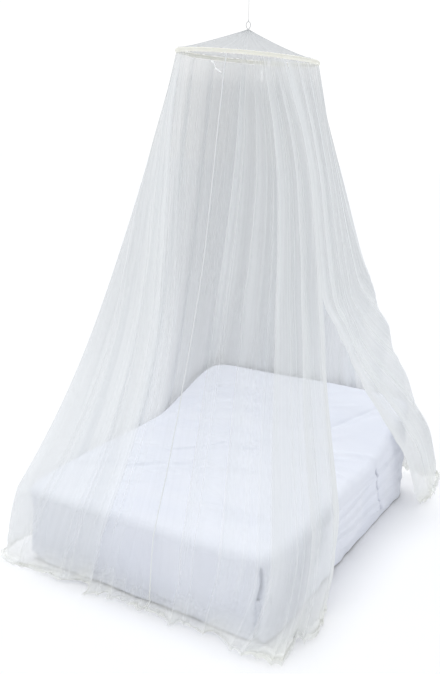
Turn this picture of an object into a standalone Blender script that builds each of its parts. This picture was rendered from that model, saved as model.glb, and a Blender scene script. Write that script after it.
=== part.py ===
"""Mosquito net canopy: a gored net wall and a shallow net top on a hoop, hung over a double bed.

Metres, +Z up, +Y towards the head of the bed, +X to the sleeper's right.
It is modelled about the middle of the bed's outline, on the floor, and then moved so that the origin
is the middle of the whole thing's outline.
"""
import math

import bpy
import bmesh
from mathutils import Vector

# Bed
BED_HALF_WIDTH = 0.73          # over the cover
BED_HALF_LENGTH = 0.97
CORNER_POWER = 14              # how square the bed's outline is
MATTRESS_HALF_WIDTH = 0.70
MATTRESS_HALF_LENGTH = 0.94
MATTRESS_BOTTOM = 0.205
MATTRESS_TOP = 0.405
BASE_BOTTOM = 0.065
BASE_INSET = 0.03
LEG_RADIUS = 0.028
LEG_X = 0.62
LEG_Y = 0.66
GAP = 0.0004                   # left between pieces that touch

# Cover
COVER_EDGE_TOP = 0.415
COVER_CROWN = 0.045
PILLOW_RISE = 0.19
PILLOW_START_Y = 0.20
COVER_EDGE_ROUND = 0.045
COVER_HEM = 0.048
COVER_HEM_WAVE = 0.014
COVER_LINING_GAP = 0.0025

# Hoop, casing and net top
HOOP_CENTRE = (0.02, -0.02, 2.556)
HOOP_RADIUS = 0.354
HOOP_WIRE = 0.004
HOOP_LOW_X_DEG = 3.8           # the hoop hangs lower at +X
HOOP_LOW_Y_DEG = 1.35          # and a little at +Y
CASING_HALF_WIDTH = 0.0075
CASING_HALF_HEIGHT = 0.010
CASING_WALL = 0.0014
CASING_JOIN_DEG = 100.0        # where the casing's two ends meet, at the back
CASING_JOIN_GAP_DEG = 3.0
TOP_APEX = 2.685
TOP_HOLE = 0.006
TOP_HOLLOW = 1.25              # over 1, the top sags between tip and hoop

# Net wall
NET_THICK = 0.002
WALL_DROP = 0.0112             # below the hoop's middle, where the wall is sewn on
FOLD_AT_HOOP = 0.003
FOLD_AT_BED = 0.036
FOLD_AT_FLOOR = 0.050
FLOOR_CLEAR = 0.004
HEM_LIFT = 0.012

# String and its fittings
EYE_WIRE = 0.0015
EYE_HALF_WIDTH = 0.0125
EYE_HALF_HEIGHT = 0.0175
STRING_RADIUS = 0.001
HOOK_WIRE = 0.0018
HOOK_BOTTOM = 2.850
CEILING = 2.900
PLATE_RADIUS = 0.020
PLATE_THICK = 0.003

# Rows of the wall from hoop to hem. share: 0 at the hoop, 1 at the bed's top edge, 2 at the floor,
# and past 2 the hem lies out. The others are the angles about the bed's middle, in degrees, of the
# front seam, of the entrance's front and rear edges and of the hidden seam at the head.
SECTIONS = (
    # share, front_seam, entrance_front, entrance_rear, head_seam
    (0.00, -77.0, -31.0, -30.0, 65.0),
    (0.07, -77.5, -24.0, -23.0, 67.0),
    (0.16, -77.9, -15.5, -14.5, 69.0),
    (0.28, -78.2, -10.5, -8.5, 72.0),
    (0.42, -78.6, -10.5, -6.0, 76.0),
    (0.56, -80.0, -12.7, -3.5, 80.0),
    (0.68, -81.1, -15.0, 12.0, 84.0),
    (0.80, -81.8, -17.2, 24.5, 88.0),
    (0.91, -82.3, -18.8, 32.5, 91.0),
    (1.00, -82.6, -20.5, 36.0, 92.0),
    (1.30, -83.0, -24.5, 38.0, 96.0),
    (1.65, -83.3, -29.0, 39.0, 98.0),
    (2.00, -83.5, -34.0, 41.0, 100.0),
    (2.20, -83.5, -35.0, 42.0, 100.0),
)
LEFT_SEAM = 210.0
BACK_SEAM = 140.0

# How far the wall stands off the bed at angles round it, in degrees and metres.
FOOTPRINT = (
    # angle, at_bed_edge, at_floor, hem_spread, hollow
    (-180.0, 0.010, 0.080, 0.025, 1.0),
    (-150.0, 0.012, 0.075, 0.025, 1.0),
    (-127.0, 0.026, 0.075, 0.035, 0.95),
    (-105.0, 0.010, 0.020, 0.008, 1.0),
    (-83.0, 0.010, 0.028, 0.040, 1.0),
    (-65.0, 0.010, 0.024, 0.010, 0.9),
    (-53.0, 0.020, 0.070, 0.045, 0.8),
    (-34.0, 0.014, 0.085, 0.040, 0.8),
    (20.0, 0.014, 0.090, 0.030, 0.6),
    (46.0, 0.028, 0.130, 0.040, 0.55),
    (60.0, 0.034, 0.165, 0.085, 0.55),
    (76.0, 0.026, 0.100, 0.040, 0.8),
    (100.0, 0.012, 0.070, 0.020, 0.9),
    (127.0, 0.030, 0.090, 0.040, 0.8),
    (150.0, 0.014, 0.080, 0.025, 1.0),
    (180.0, 0.010, 0.080, 0.025, 1.0),
)

# The wall's main folds, by their place on the hoop.
FOLDS = (
    # hoop_angle, half_width, height
    (-72.0, 2.2, 0.4), (-65.0, 2.4, 0.9), (-58.0, 2.2, 0.7), (-50.0, 2.6, 1.0), (-43.0, 2.2, 0.8),
    (-36.0, 2.4, 1.0),
    (-24.0, 3.2, 0.8), (-11.0, 4.0, 1.0), (3.0, 3.4, 0.7), (17.0, 4.2, 0.9), (30.0, 3.2, 0.6),
    (43.0, 4.0, 1.0), (57.0, 3.6, 0.8), (71.0, 4.4, 0.7), (86.0, 3.6, 1.0), (101.0, 4.2, 0.6),
    (116.0, 3.6, 0.9), (131.0, 4.4, 0.8), (147.0, 3.8, 1.0), (161.0, 3.4, 0.6), (175.0, 4.4, 0.9),
    (190.0, 3.6, 0.7), (203.0, 4.2, 1.0), (217.0, 3.2, 0.8), (228.0, 3.0, 0.6), (239.0, 3.6, 1.0),
    (249.0, 2.8, 0.7), (258.0, 3.0, 0.5), (267.0, 2.6, 0.4), (277.0, 2.6, 0.5),
)

PANELS = (
    # name, from_line, to_line, columns
    ("net_near", "front_seam", "entrance_front", 14),
    ("net_right", "entrance_rear", "head_seam", 24),
    ("net_head", "head_seam", "back_seam", 16),
    ("net_left", "back_seam", "left_seam", 16),
    ("net_foot", "left_seam", "front_seam", 22),
)

# Ribbons
RIBBON_THICK = 0.001
TIE_WIDTH = 0.005
TIE = (
    # angle, share, stand_off
    (-87.0, 0.0180, 0.016),
    (-85.0, 0.0200, 0.022),
    (-83.6, 0.0250, 0.024),
    (-82.8, 0.0320, 0.022),
    (-80.8, 0.0360, 0.018),
    (-78.8, 0.0400, 0.013),
)
TAB_ANGLE = 105.4
TAB_INSET = 0.014
TAB = (
    # drop below the hoop's line, width
    (0.0125, 0.0015),
    (0.0390, 0.0015),
    (0.0430, 0.0100),
    (0.0690, 0.0105),
    (0.0950, 0.0100),
)

COLOURS = {
    # name: (red, green, blue, roughness, metallic)
    "net": (0.86, 0.87, 0.86, 0.9, 0.0),
    "casing": (0.88, 0.86, 0.76, 0.85, 0.0),
    "hoop": (0.80, 0.80, 0.78, 0.4, 0.0),
    "ribbon": (0.95, 0.95, 0.95, 0.8, 0.0),
    "cover": (0.86, 0.87, 0.93, 0.85, 0.0),
    "mattress": (0.90, 0.90, 0.90, 0.9, 0.0),
    "base": (0.60, 0.60, 0.62, 0.9, 0.0),
    "leg": (0.08, 0.08, 0.09, 0.5, 0.0),
    "steel": (0.62, 0.63, 0.64, 0.3, 1.0),
    "string": (0.85, 0.85, 0.84, 0.8, 0.0),
}


def clear_scene():
    for ob in list(bpy.data.objects):
        bpy.data.objects.remove(ob, do_unlink=True)


def material(name):
    found = bpy.data.materials.get(name)
    if found:
        return found
    red, green, blue, rough, metallic = COLOURS[name]
    made = bpy.data.materials.new(name)
    made.use_nodes = True
    shader = made.node_tree.nodes["Principled BSDF"]
    shader.inputs["Base Color"].default_value = (red, green, blue, 1.0)
    shader.inputs["Roughness"].default_value = rough
    shader.inputs["Metallic"].default_value = metallic
    made.diffuse_color = (red, green, blue, 1.0)
    return made


def add_mesh(name, points, faces, finish, smooth=True):
    """A mesh object from points and faces, its faces turned to point out."""
    mesh = bpy.data.meshes.new(name)
    mesh.from_pydata([tuple(p) for p in points], [], faces)
    bm = bmesh.new()
    bm.from_mesh(mesh)
    bmesh.ops.recalc_face_normals(bm, faces=bm.faces)
    bm.to_mesh(mesh)
    bm.free()
    ob = bpy.data.objects.new(name, mesh)
    bpy.context.scene.collection.objects.link(ob)
    mesh.materials.append(material(finish))
    if smooth:
        mesh.shade_smooth()
        mesh.set_sharp_from_angle(angle=math.radians(40))
    return ob


def stack_loops(loops, closed_ends=True):
    """Points and faces that join loops of equal length one after the other, with a fan at each end."""
    count = len(loops[0])
    points = [p for loop in loops for p in loop]
    faces = []
    for row in range(len(loops) - 1):
        for i in range(count):
            j = (i + 1) % count
            a, b = row * count, (row + 1) * count
            faces.append((a + i, a + j, b + j))
            faces.append((a + i, b + j, b + i))
    if closed_ends:
        for start in (0, (len(loops) - 1) * count):
            middle = sum((Vector(points[start + i]) for i in range(count)), Vector()) / count
            points.append(middle)
            last = len(points) - 1
            faces += [(start + i, start + (i + 1) % count, last) for i in range(count)]
    return points, faces


def smooth_step(t):
    t = min(1.0, max(0.0, t))
    return t * t * (3.0 - 2.0 * t)


def between(rows, at):
    """The row of a table at a value of its first column, eased between the rows on either side."""
    for low, high in zip(rows, rows[1:]):
        if low[0] <= at <= high[0]:
            part = smooth_step((at - low[0]) / (high[0] - low[0]))
            return [a + (b - a) * part for a, b in zip(low, high)]
    raise ValueError(f"{at} is outside the table")


# ---------------------------------------------------------------- bed

def bed_radius(angle, half_width, half_length):
    """Distance from the middle to a rounded rectangle's side, in the direction of angle."""
    across = abs(math.cos(angle) / half_width) ** CORNER_POWER
    along = abs(math.sin(angle) / half_length) ** CORNER_POWER
    return (across + along) ** (-1.0 / CORNER_POWER)


def bed_loop(half_width, half_length, height, count=64):
    """A level loop of that outline. height is a number or a function of angle."""
    loop = []
    for i in range(count):
        angle = 2.0 * math.pi * i / count
        reach = bed_radius(angle, half_width, half_length)
        z = height(angle) if callable(height) else height
        loop.append((reach * math.cos(angle), reach * math.sin(angle), z))
    return loop


def cover_top(x, y):
    """Height of the cover: crowned, and raised at the head, where the pillows lie under it."""
    crown = (1.0 - (x / BED_HALF_WIDTH) ** 4) * (1.0 - (y / BED_HALF_LENGTH) ** 4)
    pillows = smooth_step((y - PILLOW_START_Y) / (BED_HALF_LENGTH - PILLOW_START_Y))
    return COVER_EDGE_TOP + COVER_CROWN * max(0.0, crown) + PILLOW_RISE * pillows


def make_bed():
    leg = ((LEG_RADIUS, 0.0), (LEG_RADIUS, BASE_BOTTOM - GAP))
    number = 0
    for side in (-1, 1):
        for end in (-1, 1):
            number += 1
            loops = []
            for radius, z in leg:
                turns = [2.0 * math.pi * i / 16 for i in range(16)]
                loops.append([(side * LEG_X + radius * math.cos(t), end * LEG_Y + radius * math.sin(t), z)
                              for t in turns])
            add_mesh(f"bed_leg_{number}", *stack_loops(loops), "leg")

    base_width = MATTRESS_HALF_WIDTH - BASE_INSET
    base_length = MATTRESS_HALF_LENGTH - BASE_INSET
    loops = [bed_loop(base_width, base_length, z) for z in (BASE_BOTTOM, MATTRESS_BOTTOM - GAP)]
    add_mesh("bed_base", *stack_loops(loops), "base")

    edge = 0.02
    profile = ((MATTRESS_BOTTOM, edge), (MATTRESS_BOTTOM + edge, 0.0),
               (MATTRESS_TOP - edge, 0.0), (MATTRESS_TOP, edge))
    loops = [bed_loop(MATTRESS_HALF_WIDTH - inset, MATTRESS_HALF_LENGTH - inset, z) for z, inset in profile]
    add_mesh("mattress", *stack_loops(loops), "mattress")
    make_cover()


def cover_hem(angle):
    return COVER_HEM + COVER_HEM_WAVE * math.sin(5.0 * angle + 0.6)


def make_cover():
    """The cover: soft on top and down the sides, hollow beneath, where the mattress is."""
    loops = []
    for part in (0.3, 0.6, 0.82):
        loops.append(cover_ring(part * (BED_HALF_WIDTH - COVER_EDGE_ROUND),
                                part * (BED_HALF_LENGTH - COVER_EDGE_ROUND), 0.0))
    for turn in (0, 30, 60, 90):
        inset = COVER_EDGE_ROUND * (1.0 - math.sin(math.radians(turn)))
        drop = COVER_EDGE_ROUND * (1.0 - math.cos(math.radians(turn)))
        loops.append(cover_ring(BED_HALF_WIDTH - inset, BED_HALF_LENGTH - inset, drop))
    loops.append(bed_loop(BED_HALF_WIDTH - 0.004, BED_HALF_LENGTH - 0.004, 0.22))
    loops.append(bed_loop(BED_HALF_WIDTH, BED_HALF_LENGTH, cover_hem))
    inner_width = MATTRESS_HALF_WIDTH + COVER_LINING_GAP
    inner_length = MATTRESS_HALF_LENGTH + COVER_LINING_GAP
    loops.append(bed_loop(inner_width, inner_length, cover_hem))
    loops.append(bed_loop(inner_width, inner_length, MATTRESS_TOP + COVER_LINING_GAP))
    add_mesh("bed_cover", *stack_loops(loops), "cover")


def cover_ring(half_width, half_length, drop):
    ring = bed_loop(half_width, half_length, 0.0)
    return [(x, y, cover_top(x, y) - drop) for x, y, _ in ring]


# ---------------------------------------------------------------- hoop and net top

def hoop_height(x, y):
    """Height of the hoop's tilted plane over a point."""
    fall_x = (x - HOOP_CENTRE[0]) * math.tan(math.radians(HOOP_LOW_X_DEG))
    fall_y = (y - HOOP_CENTRE[1]) * math.tan(math.radians(HOOP_LOW_Y_DEG))
    return HOOP_CENTRE[2] - fall_x - fall_y


def hoop_point(degrees, radius=HOOP_RADIUS):
    angle = math.radians(degrees)
    x = HOOP_CENTRE[0] + radius * math.cos(angle)
    y = HOOP_CENTRE[1] + radius * math.sin(angle)
    return Vector((x, y, hoop_height(x, y)))


def oval_loop(degrees, half_width, half_height, sides):
    """An upright oval round the hoop's line at one place."""
    angle = math.radians(degrees)
    out = Vector((math.cos(angle), math.sin(angle), 0.0))
    centre = hoop_point(degrees)
    turns = [2.0 * math.pi * i / sides for i in range(sides)]
    return [centre + out * half_width * math.cos(t) + Vector((0, 0, half_height * math.sin(t))) for t in turns]


def make_hoop():
    stations = 48
    loops = [oval_loop(360.0 * i / stations, HOOP_WIRE, HOOP_WIRE, 8) for i in range(stations)]
    points, faces = stack_loops(loops + loops[:1], closed_ends=False)
    total = stations * 8
    faces = [tuple(i % total for i in face) for face in faces]
    add_mesh("hoop", points[:total], faces, "hoop")

    sweep = 360.0 - CASING_JOIN_GAP_DEG
    first = CASING_JOIN_DEG + CASING_JOIN_GAP_DEG / 2.0
    angles = [first + sweep * i / stations for i in range(stations + 1)]
    outer = [oval_loop(a, CASING_HALF_WIDTH, CASING_HALF_HEIGHT, 8) for a in angles]
    inner = [oval_loop(a, CASING_HALF_WIDTH - CASING_WALL, CASING_HALF_HEIGHT - CASING_WALL, 8) for a in angles]
    loops = outer + inner[::-1]
    points, faces = stack_loops(loops + loops[:1], closed_ends=False)
    total = len(loops) * 8
    faces = [tuple(i % total for i in face) for face in faces]
    add_mesh("hoop_casing", points[:total], faces, "casing")


def make_top():
    """The net top: from the tip's hole it sags a little on its way out to the casing."""
    lift = CASING_HALF_HEIGHT + NET_THICK / 2.0 + GAP
    faces_up = []
    for side in (NET_THICK / 2.0, -NET_THICK / 2.0):
        loops = []
        for part in (0.0, 0.05, 0.14, 0.28, 0.46, 0.64, 0.82, 1.0):
            radius = TOP_HOLE + (HOOP_RADIUS - TOP_HOLE) * part
            fall = 1.0 - (1.0 - part) ** TOP_HOLLOW
            loop = []
            for i in range(36):
                low = hoop_point(10.0 * i)
                low.z += lift
                spot = hoop_point(10.0 * i, radius)
                loop.append((spot.x, spot.y, TOP_APEX + (low.z - TOP_APEX) * fall + side))
            loops.append(loop)
        faces_up.append(loops)
    loops = faces_up[0] + faces_up[1][::-1]
    points, faces = stack_loops(loops + loops[:1], closed_ends=False)
    total = len(loops) * 36
    faces = [tuple(i % total for i in face) for face in faces]
    add_mesh("net_top", points[:total], faces, "net")


# ---------------------------------------------------------------- net wall

def fold_height(hoop_angle):
    """How far the folds carry the net out at a place on the hoop, 0 to about 1."""
    total = 0.0
    for centre, half_width, height in FOLDS:
        away = (hoop_angle - centre + 180.0) % 360.0 - 180.0
        total += height * math.exp(-(away / half_width) ** 2)
    return total


def wall_point(angle_deg, share, hoop_angle):
    """A point of the wall, at an angle round the bed and a share of the way down."""
    turn = (angle_deg + 180.0) % 360.0 - 180.0
    angle = math.radians(turn)
    _, at_edge, at_floor, spread, hollow = between(FOOTPRINT, turn)
    out = Vector((math.cos(angle), math.sin(angle), 0.0))
    edge = bed_radius(angle, BED_HALF_WIDTH + at_edge, BED_HALF_LENGTH + at_edge)
    edge_point = out * edge
    edge_point.z = cover_top(*(out * bed_radius(angle, BED_HALF_WIDTH, BED_HALF_LENGTH)).xy) - 0.02
    fold = fold_height(hoop_angle)
    if share <= 1.0:
        top = hoop_point(turn)
        top.z -= WALL_DROP
        went = share - hollow * (0.2 + 0.45 * share) * share * (1.0 - share)
        spot = top + (edge_point - top) * went
        spot.z = top.z + (edge_point.z - top.z) * share
        return spot + out * fold * (FOLD_AT_HOOP + (FOLD_AT_BED - FOLD_AT_HOOP) * share)
    down = min(1.0, share - 1.0)
    floor = bed_radius(angle, BED_HALF_WIDTH + at_floor, BED_HALF_LENGTH + at_floor)
    reach = edge + (floor - edge) * (1.0 - (1.0 - down) ** 1.7)
    spot = out * (reach + fold * (FOLD_AT_BED + (FOLD_AT_FLOOR - FOLD_AT_BED) * down))
    spot.z = HEM_LIFT + (edge_point.z - HEM_LIFT) * (1.0 - down)
    if share > 2.0:
        spot += out * spread
        spot.z = FLOOR_CLEAR
    return spot


def line_angle(line, section):
    """Angle of a panel's edge at one row, counted on from -70 to 290 degrees."""
    share, front_seam, entrance_front, entrance_rear, head_seam = section
    angles = {
        "front_seam": front_seam,
        "entrance_front": entrance_front,
        "entrance_rear": entrance_rear,
        "head_seam": head_seam,
        "back_seam": BACK_SEAM,
        "left_seam": LEFT_SEAM,
    }
    return angles[line]


def make_panel(name, from_line, to_line, columns):
    """One panel of the wall: a sheet with its folds, given its thickness along its own normals."""
    rows = len(SECTIONS)
    grid = []
    for column in range(columns + 1):
        part = column / columns
        part = 0.001 + 0.998 * part
        ends = [(line_angle(from_line, s), line_angle(to_line, s)) for s in SECTIONS]
        if to_line == "front_seam":
            ends = [(a, b + 360.0) for a, b in ends]
        hoop_angle = ends[0][0] + (ends[0][1] - ends[0][0]) * part
        line = []
        for section, (a, b) in zip(SECTIONS, ends):
            line.append(wall_point(a + (b - a) * part, section[0], hoop_angle))
        grid.append(line)

    front, back = [], []
    for i in range(columns + 1):
        for j in range(rows):
            across = grid[min(i + 1, columns)][j] - grid[max(i - 1, 0)][j]
            down = grid[i][min(j + 1, rows - 1)] - grid[i][max(j - 1, 0)]
            normal = down.cross(across).normalized()
            front.append(grid[i][j] + normal * NET_THICK / 2.0)
            back.append(grid[i][j] - normal * NET_THICK / 2.0)
    total = len(front)
    faces = []
    for i in range(columns):
        for j in range(rows - 1):
            a, b, c, d = i * rows + j, (i + 1) * rows + j, (i + 1) * rows + j + 1, i * rows + j + 1
            faces += [(a, b, c), (a, c, d), (total + c, total + b, total + a), (total + d, total + c, total + a)]
    rim = [i * rows for i in range(columns + 1)]
    rim += [columns * rows + j for j in range(1, rows)]
    rim += [i * rows + rows - 1 for i in range(columns - 1, -1, -1)]
    rim += [j for j in range(rows - 2, 0, -1)]
    for a, b in zip(rim, rim[1:] + rim[:1]):
        faces += [(a, b, total + b), (a, total + b, total + a)]
    add_mesh(name, front + back, faces, "net")


# ---------------------------------------------------------------- trim, eye, string and hook

def make_strip(name, spine, across, widths, thick):
    """A flat ribbon along a line of points, with its width at each. across is the direction of the width."""
    loops = []
    for i, (spot, width) in enumerate(zip(spine, widths)):
        along = (spine[min(i + 1, len(spine) - 1)] - spine[max(i - 1, 0)]).normalized()
        out = along.cross(across).normalized()
        half, deep = across * width / 2.0, out * thick / 2.0
        loops.append([spot - half - deep, spot + half - deep, spot + half + deep, spot - half + deep])
    add_mesh(name, *stack_loops(loops), "ribbon", smooth=False)


def make_trim():
    """The loose tie beside the front seam, and the tab that hangs on a thread inside the hoop at the back."""
    spine = []
    for angle_deg, share, stand_off in TIE:
        angle = math.radians(angle_deg)
        out = Vector((math.cos(angle), math.sin(angle), 0.0))
        spine.append(wall_point(angle_deg, share, angle_deg) + out * stand_off)
    make_strip("tie_ribbon", spine, Vector((0.0, 0.0, 1.0)), [TIE_WIDTH] * len(spine), RIBBON_THICK)

    angle = math.radians(TAB_ANGLE)
    top = hoop_point(TAB_ANGLE, HOOP_RADIUS - TAB_INSET)
    spine = [top + Vector((0.0, 0.0, -drop)) for drop, _ in TAB]
    across = Vector((-math.sin(angle), math.cos(angle), 0.0))
    make_strip("hanging_tab", spine, across, [width for _, width in TAB], RIBBON_THICK)


def tube_loops(path, radius, sides, closed):
    """Round loops along a path that lies in the plane of x and z."""
    sideways = Vector((0.0, 1.0, 0.0))
    loops = []
    last = len(path) - 1
    for i, spot in enumerate(path):
        before = path[i - 1] if closed or i else path[0]
        after = path[(i + 1) % len(path)] if closed or i < last else path[last]
        out = (after - before).normalized().cross(sideways)
        turns = [2.0 * math.pi * k / sides for k in range(sides)]
        loops.append([spot + out * radius * math.cos(t) + sideways * radius * math.sin(t) for t in turns])
    return loops


def union(main, other):
    """Joins another object's shape into the main one, and leaves the other as a guide."""
    joined = main.modifiers.new("joined", "BOOLEAN")
    joined.operation = "UNION"
    joined.solver = "EXACT"
    joined.object = other
    other.hide_render = True
    other.display_type = "WIRE"


def make_eye():
    """A wire eye, pointed below, on a short stem that ends in a bead under the net's tip."""
    centre = Vector((HOOP_CENTRE[0], HOOP_CENTRE[1], TOP_APEX + EYE_HALF_HEIGHT + 0.004))
    path = []
    for i in range(28):
        turn = 2.0 * math.pi * i / 28
        narrow = 1.0 if math.sin(turn) > 0 else 1.0 - 0.45 * math.sin(turn) ** 2
        path.append(centre + Vector((EYE_HALF_WIDTH * narrow * math.cos(turn), 0.0,
                                     EYE_HALF_HEIGHT * math.sin(turn))))
    loops = tube_loops(path, EYE_WIRE, 8, True)
    points, faces = stack_loops(loops + loops[:1], closed_ends=False)
    total = 28 * 8
    eye = add_mesh("hanging_eye", points[:total], [tuple(i % total for i in f) for f in faces], "steel")

    profile = ((0.0015, -0.0225), (0.0055, -0.0190), (0.0055, -0.0150), (0.0022, -0.0120),
               (0.0022, 0.0020), (0.0018, 0.0052))
    loops = []
    for radius, height in profile:
        turns = [2.0 * math.pi * k / 10 for k in range(10)]
        loops.append([(HOOP_CENTRE[0] + radius * math.cos(t), HOOP_CENTRE[1] + radius * math.sin(t),
                       TOP_APEX + height) for t in turns])
    stem = add_mesh("eye_stem_guide", *stack_loops(loops), "steel")
    union(eye, stem)
    return centre.z + EYE_HALF_HEIGHT + EYE_WIRE


def make_string(bottom, top):
    curve = bpy.data.curves.new("string", "CURVE")
    curve.dimensions = "3D"
    curve.bevel_depth = STRING_RADIUS
    curve.bevel_resolution = 2
    curve.use_fill_caps = True
    spline = curve.splines.new("POLY")
    count = 26
    spline.points.add(count - 1)
    for i, point in enumerate(spline.points):
        z = bottom + (top - bottom) * i / (count - 1)
        point.co = (HOOP_CENTRE[0], HOOP_CENTRE[1], z, 1.0)
    curve.materials.append(material("string"))
    ob = bpy.data.objects.new("string", curve)
    bpy.context.scene.collection.objects.link(ob)


def make_hook():
    """A ceiling plate with an open hook under it."""
    x, y, _ = HOOP_CENTRE
    loops = []
    for z in (CEILING - PLATE_THICK, CEILING):
        turns = [2.0 * math.pi * k / 32 for k in range(32)]
        loops.append([(x + PLATE_RADIUS * math.cos(t), y + PLATE_RADIUS * math.sin(t), z) for t in turns])
    plate = add_mesh("ceiling_hook", *stack_loops(loops), "steel")

    bend = 0.0105
    centre = Vector((x, y, HOOK_BOTTOM + HOOK_WIRE + bend))
    path = [Vector((x, y, CEILING - PLATE_THICK + 0.001)), Vector((x, y, centre.z + bend + 0.010))]
    for degrees in range(60, -211, -15):
        turn = math.radians(degrees)
        path.append(centre + Vector((bend * math.cos(turn), 0.0, bend * math.sin(turn))))
    wire = add_mesh("hook_wire_guide", *stack_loops(tube_loops(path, HOOK_WIRE, 8, False)), "steel")
    union(plate, wire)


def centre_over_origin():
    """Moves everything so that the outline's middle is over the origin. Heights stay."""
    outline = [v.co for panel in PANELS for v in bpy.data.objects[panel[0]].data.vertices]
    middle_x = (min(p.x for p in outline) + max(p.x for p in outline)) / 2.0
    middle_y = (min(p.y for p in outline) + max(p.y for p in outline)) / 2.0
    for ob in bpy.data.objects:
        ob.location = (-middle_x, -middle_y, 0.0)


clear_scene()
make_bed()
make_hoop()
make_top()
for panel in PANELS:
    make_panel(*panel)
make_trim()
eye_top = make_eye()
make_string(eye_top + GAP, HOOK_BOTTOM - GAP)
make_hook()
centre_over_origin()
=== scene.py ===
"""Looks of the mosquito net canopy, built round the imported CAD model.

Metres. Everything is worked out about the middle of the bed, which is the middle of the CAD mattress, and
then moved there. +Z is up, +Y is towards the head of the bed and +X is to the sleeper's right.
"""
import math

import bpy
import numpy as np
from mathutils import Matrix, Vector


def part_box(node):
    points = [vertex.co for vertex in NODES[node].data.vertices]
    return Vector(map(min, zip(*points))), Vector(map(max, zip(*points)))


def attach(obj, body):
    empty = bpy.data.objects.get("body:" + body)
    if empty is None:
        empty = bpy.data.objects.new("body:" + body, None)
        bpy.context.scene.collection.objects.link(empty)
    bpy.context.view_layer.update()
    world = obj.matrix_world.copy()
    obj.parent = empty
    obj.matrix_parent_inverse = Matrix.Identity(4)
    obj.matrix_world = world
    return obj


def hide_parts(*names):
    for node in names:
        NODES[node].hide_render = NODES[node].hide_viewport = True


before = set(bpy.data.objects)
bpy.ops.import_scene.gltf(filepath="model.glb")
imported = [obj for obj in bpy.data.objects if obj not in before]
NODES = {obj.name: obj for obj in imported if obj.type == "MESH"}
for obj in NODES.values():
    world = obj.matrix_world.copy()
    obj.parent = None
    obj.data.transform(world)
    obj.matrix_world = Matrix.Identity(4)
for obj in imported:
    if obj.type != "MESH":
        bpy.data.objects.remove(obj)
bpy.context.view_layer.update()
MATTRESS_LOW, MATTRESS_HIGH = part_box("mattress")
MIDDLE = np.array([(MATTRESS_LOW.x + MATTRESS_HIGH.x) / 2.0, (MATTRESS_LOW.y + MATTRESS_HIGH.y) / 2.0, 0.0])

# Bed and cover, as in the CAD model
BED_HALF_WIDTH = 0.73
BED_HALF_LENGTH = 0.97
CORNER_POWER = 14
COVER_EDGE_TOP = 0.415
COVER_CROWN = 0.045
PILLOW_RISE = 0.19
PILLOW_START_Y = 0.20
COVER_EDGE_ROUND = 0.045

# Hoop and net, as in the CAD model
HOOP_CENTRE = np.array([0.02, -0.02, 2.556])
HOOP_RADIUS = 0.354
HOOP_LOW_X = math.tan(math.radians(3.8))
HOOP_LOW_Y = math.tan(math.radians(1.35))
CASING_HALF_WIDTH = 0.0075
CASING_HALF_HEIGHT = 0.010
TOP_APEX = 2.685
TOP_HOLE = 0.006
TOP_HOLLOW = 1.25
TOP_LIFT = 0.0114
WALL_DROP = 0.0112
FOLD_AT_HOOP = 0.003
FOLD_AT_BED = 0.036
FOLD_AT_FLOOR = 0.050
HEM_LIFT = 0.012
PLAIN_SEAMS = {"back_seam": 140.0, "left_seam": 210.0}

# The net's seams and the entrance's edges, as angles round the bed. The entrance's edges follow the photo
# more closely than the CAD model's, and are up to 7 cm from them.
SECTIONS = np.array((
    # share, front_seam, entrance_front, entrance_rear, head_seam
    (0.00, -77.0, -31.0, -30.0, 65.0),
    (0.07, -77.5, -24.0, -24.5, 67.0),
    (0.16, -77.9, -15.5, -17.5, 69.0),
    (0.28, -78.2, -10.0, -12.5, 72.0),
    (0.42, -78.6, -9.5, -13.0, 76.0),
    (0.53, -79.7, -12.0, -11.5, 79.0),
    (0.60, -80.3, -13.0, -0.5, 81.0),
    (0.68, -81.1, -15.0, 10.5, 84.0),
    (0.80, -81.8, -17.2, 24.5, 88.0),
    (0.91, -82.3, -18.8, 32.5, 91.0),
    (1.00, -82.6, -20.5, 36.0, 92.0),
    (1.30, -83.0, -24.5, 38.0, 96.0),
    (1.65, -83.3, -29.0, 39.0, 98.0),
    (2.00, -83.5, -34.0, 41.0, 100.0),
    (2.20, -83.5, -35.0, 42.0, 100.0),
))
SECTION_COLUMNS = {"front_seam": 1, "entrance_front": 2, "entrance_rear": 3, "head_seam": 4}

FOOTPRINT = np.array((
    # angle, at_bed_edge, at_floor, hem_spread, hollow
    (-180.0, 0.010, 0.080, 0.025, 1.0),
    (-150.0, 0.012, 0.075, 0.025, 1.0),
    (-127.0, 0.026, 0.075, 0.035, 0.95),
    (-105.0, 0.010, 0.020, 0.008, 1.0),
    (-83.0, 0.010, 0.028, 0.040, 1.0),
    (-65.0, 0.010, 0.024, 0.010, 0.9),
    (-53.0, 0.020, 0.070, 0.045, 0.8),
    (-34.0, 0.014, 0.085, 0.040, 0.8),
    (20.0, 0.014, 0.090, 0.030, 0.6),
    (46.0, 0.028, 0.130, 0.040, 0.55),
    (60.0, 0.034, 0.165, 0.085, 0.55),
    (76.0, 0.026, 0.100, 0.040, 0.8),
    (100.0, 0.012, 0.070, 0.020, 0.9),
    (127.0, 0.030, 0.090, 0.040, 0.8),
    (150.0, 0.014, 0.080, 0.025, 1.0),
    (180.0, 0.010, 0.080, 0.025, 1.0),
))

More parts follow.
